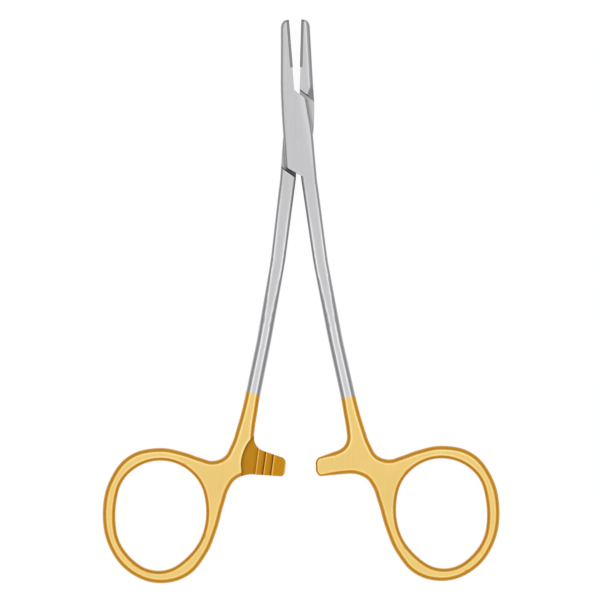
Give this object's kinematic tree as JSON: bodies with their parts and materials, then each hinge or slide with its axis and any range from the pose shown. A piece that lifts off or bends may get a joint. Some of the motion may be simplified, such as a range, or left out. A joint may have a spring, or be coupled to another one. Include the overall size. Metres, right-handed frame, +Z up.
{
  "type": "surgical needle holder",
  "caption": "Box-lock needle holder with carbide jaw inserts, a ratchet between the shanks and gold-plated finger rings.",
  "frame": {"origin": "on the pivot axis, in the plane of the box lock's lower face, on which the instrument lies", "axes": "+Y from the pivot to the jaws, +X to the right seen from the front, +Z up through the thickness to the front face"},
  "size_m": [0.1056, 0.1497, 0.0052],
  "materials": {
    "satin_steel": "satin brushed stainless steel; the ring ends of the halves are plated in satin gold",
    "carbide": "dark grey tungsten carbide with a cross-cut gripping face"
  },
  "bodies": {
    "box_half": {"box_half": "satin_steel", "pivot_pin": "satin_steel", "left_jaw_insert": "carbide"},
    "inner_half": {"inner_half": "satin_steel", "right_jaw_insert": "carbide"}
  },
  "joints": [
    {"name": "pivot", "type": "hinge", "parent": "box_half", "child": "inner_half", "pos_m": [0, 0, 0], "axis": [0, 0, 1], "range_deg": [-45, 6.1]}
  ]
}
